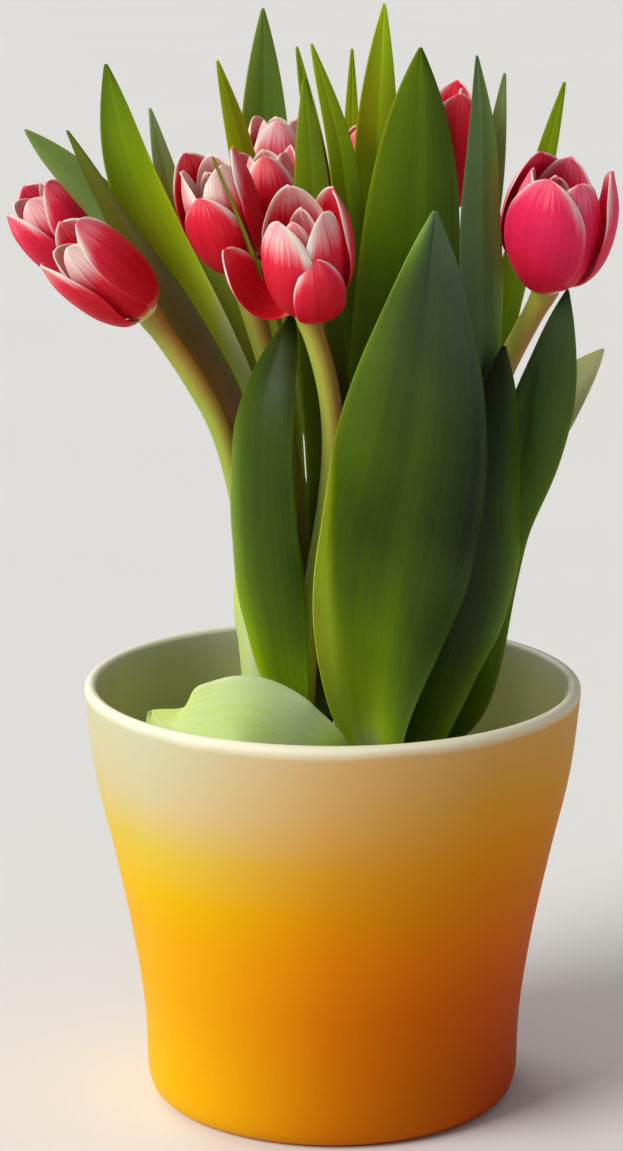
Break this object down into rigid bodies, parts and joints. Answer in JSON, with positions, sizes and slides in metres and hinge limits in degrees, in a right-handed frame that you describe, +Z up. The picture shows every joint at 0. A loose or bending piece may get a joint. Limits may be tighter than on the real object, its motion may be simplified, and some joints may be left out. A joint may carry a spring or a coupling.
{
  "type": "potted tulips",
  "caption": "Pink and cream tulips with upright leaves, growing close together in a flared glazed pot.",
  "frame": {"origin": "centre of the flat face of the pot's foot, on the surface it stands on", "axes": "+Z up, -Y towards the side the plants are seen from in the picture, +X to the right from there"},
  "size_m": [0.1923, 0.1645, 0.352],
  "materials": {
    "glaze": "satin",
    "compost": "matte",
    "stem": "satin",
    "leaf": "satin",
    "petal": "satin"
  },
  "bodies": {
    "root": {"pot": "glaze", "soil": "compost", "stem_far_left": "stem", "stem_left": "stem", "stem_centre_left": "stem", "stem_front": "stem", "stem_middle": "stem", "stem_back_left": "stem", "stem_back": "stem", "stem_back_right": "stem", "stem_right": "stem", "bloom_far_left": "petal", "bloom_left": "petal", "bloom_centre_left": "petal", "bloom_front": "petal", "bloom_middle": "petal", "bloom_back_left": "petal", "bloom_back": "petal", "bloom_back_right": "petal", "bloom_right": "petal", "leaf_far_left": "leaf", "leaf_left_stem": "leaf", "leaf_left_tall": "leaf", "leaf_left_inner": "leaf", "leaf_front_left": "leaf", "leaf_front_large": "leaf", "leaf_drooping": "leaf", "leaf_thin_front": "leaf", "leaf_centre_upright": "leaf", "leaf_centre_striped": "leaf", "leaf_back_tallest": "leaf", "leaf_back_left_narrow": "leaf", "leaf_back_left_tall": "leaf", "leaf_back_slim": "leaf", "leaf_back_tip": "leaf", "leaf_back_right_slim": "leaf", "leaf_right_broad": "leaf", "leaf_right_tall": "leaf", "leaf_behind_right_bloom": "leaf", "leaf_lower_right": "leaf", "leaf_lower_right_pale": "leaf", "leaf_right_dark": "leaf", "leaf_left_sheath": "leaf", "leaf_rear_centre": "leaf", "leaf_rear_right": "leaf"}
  },
  "joints": []
}
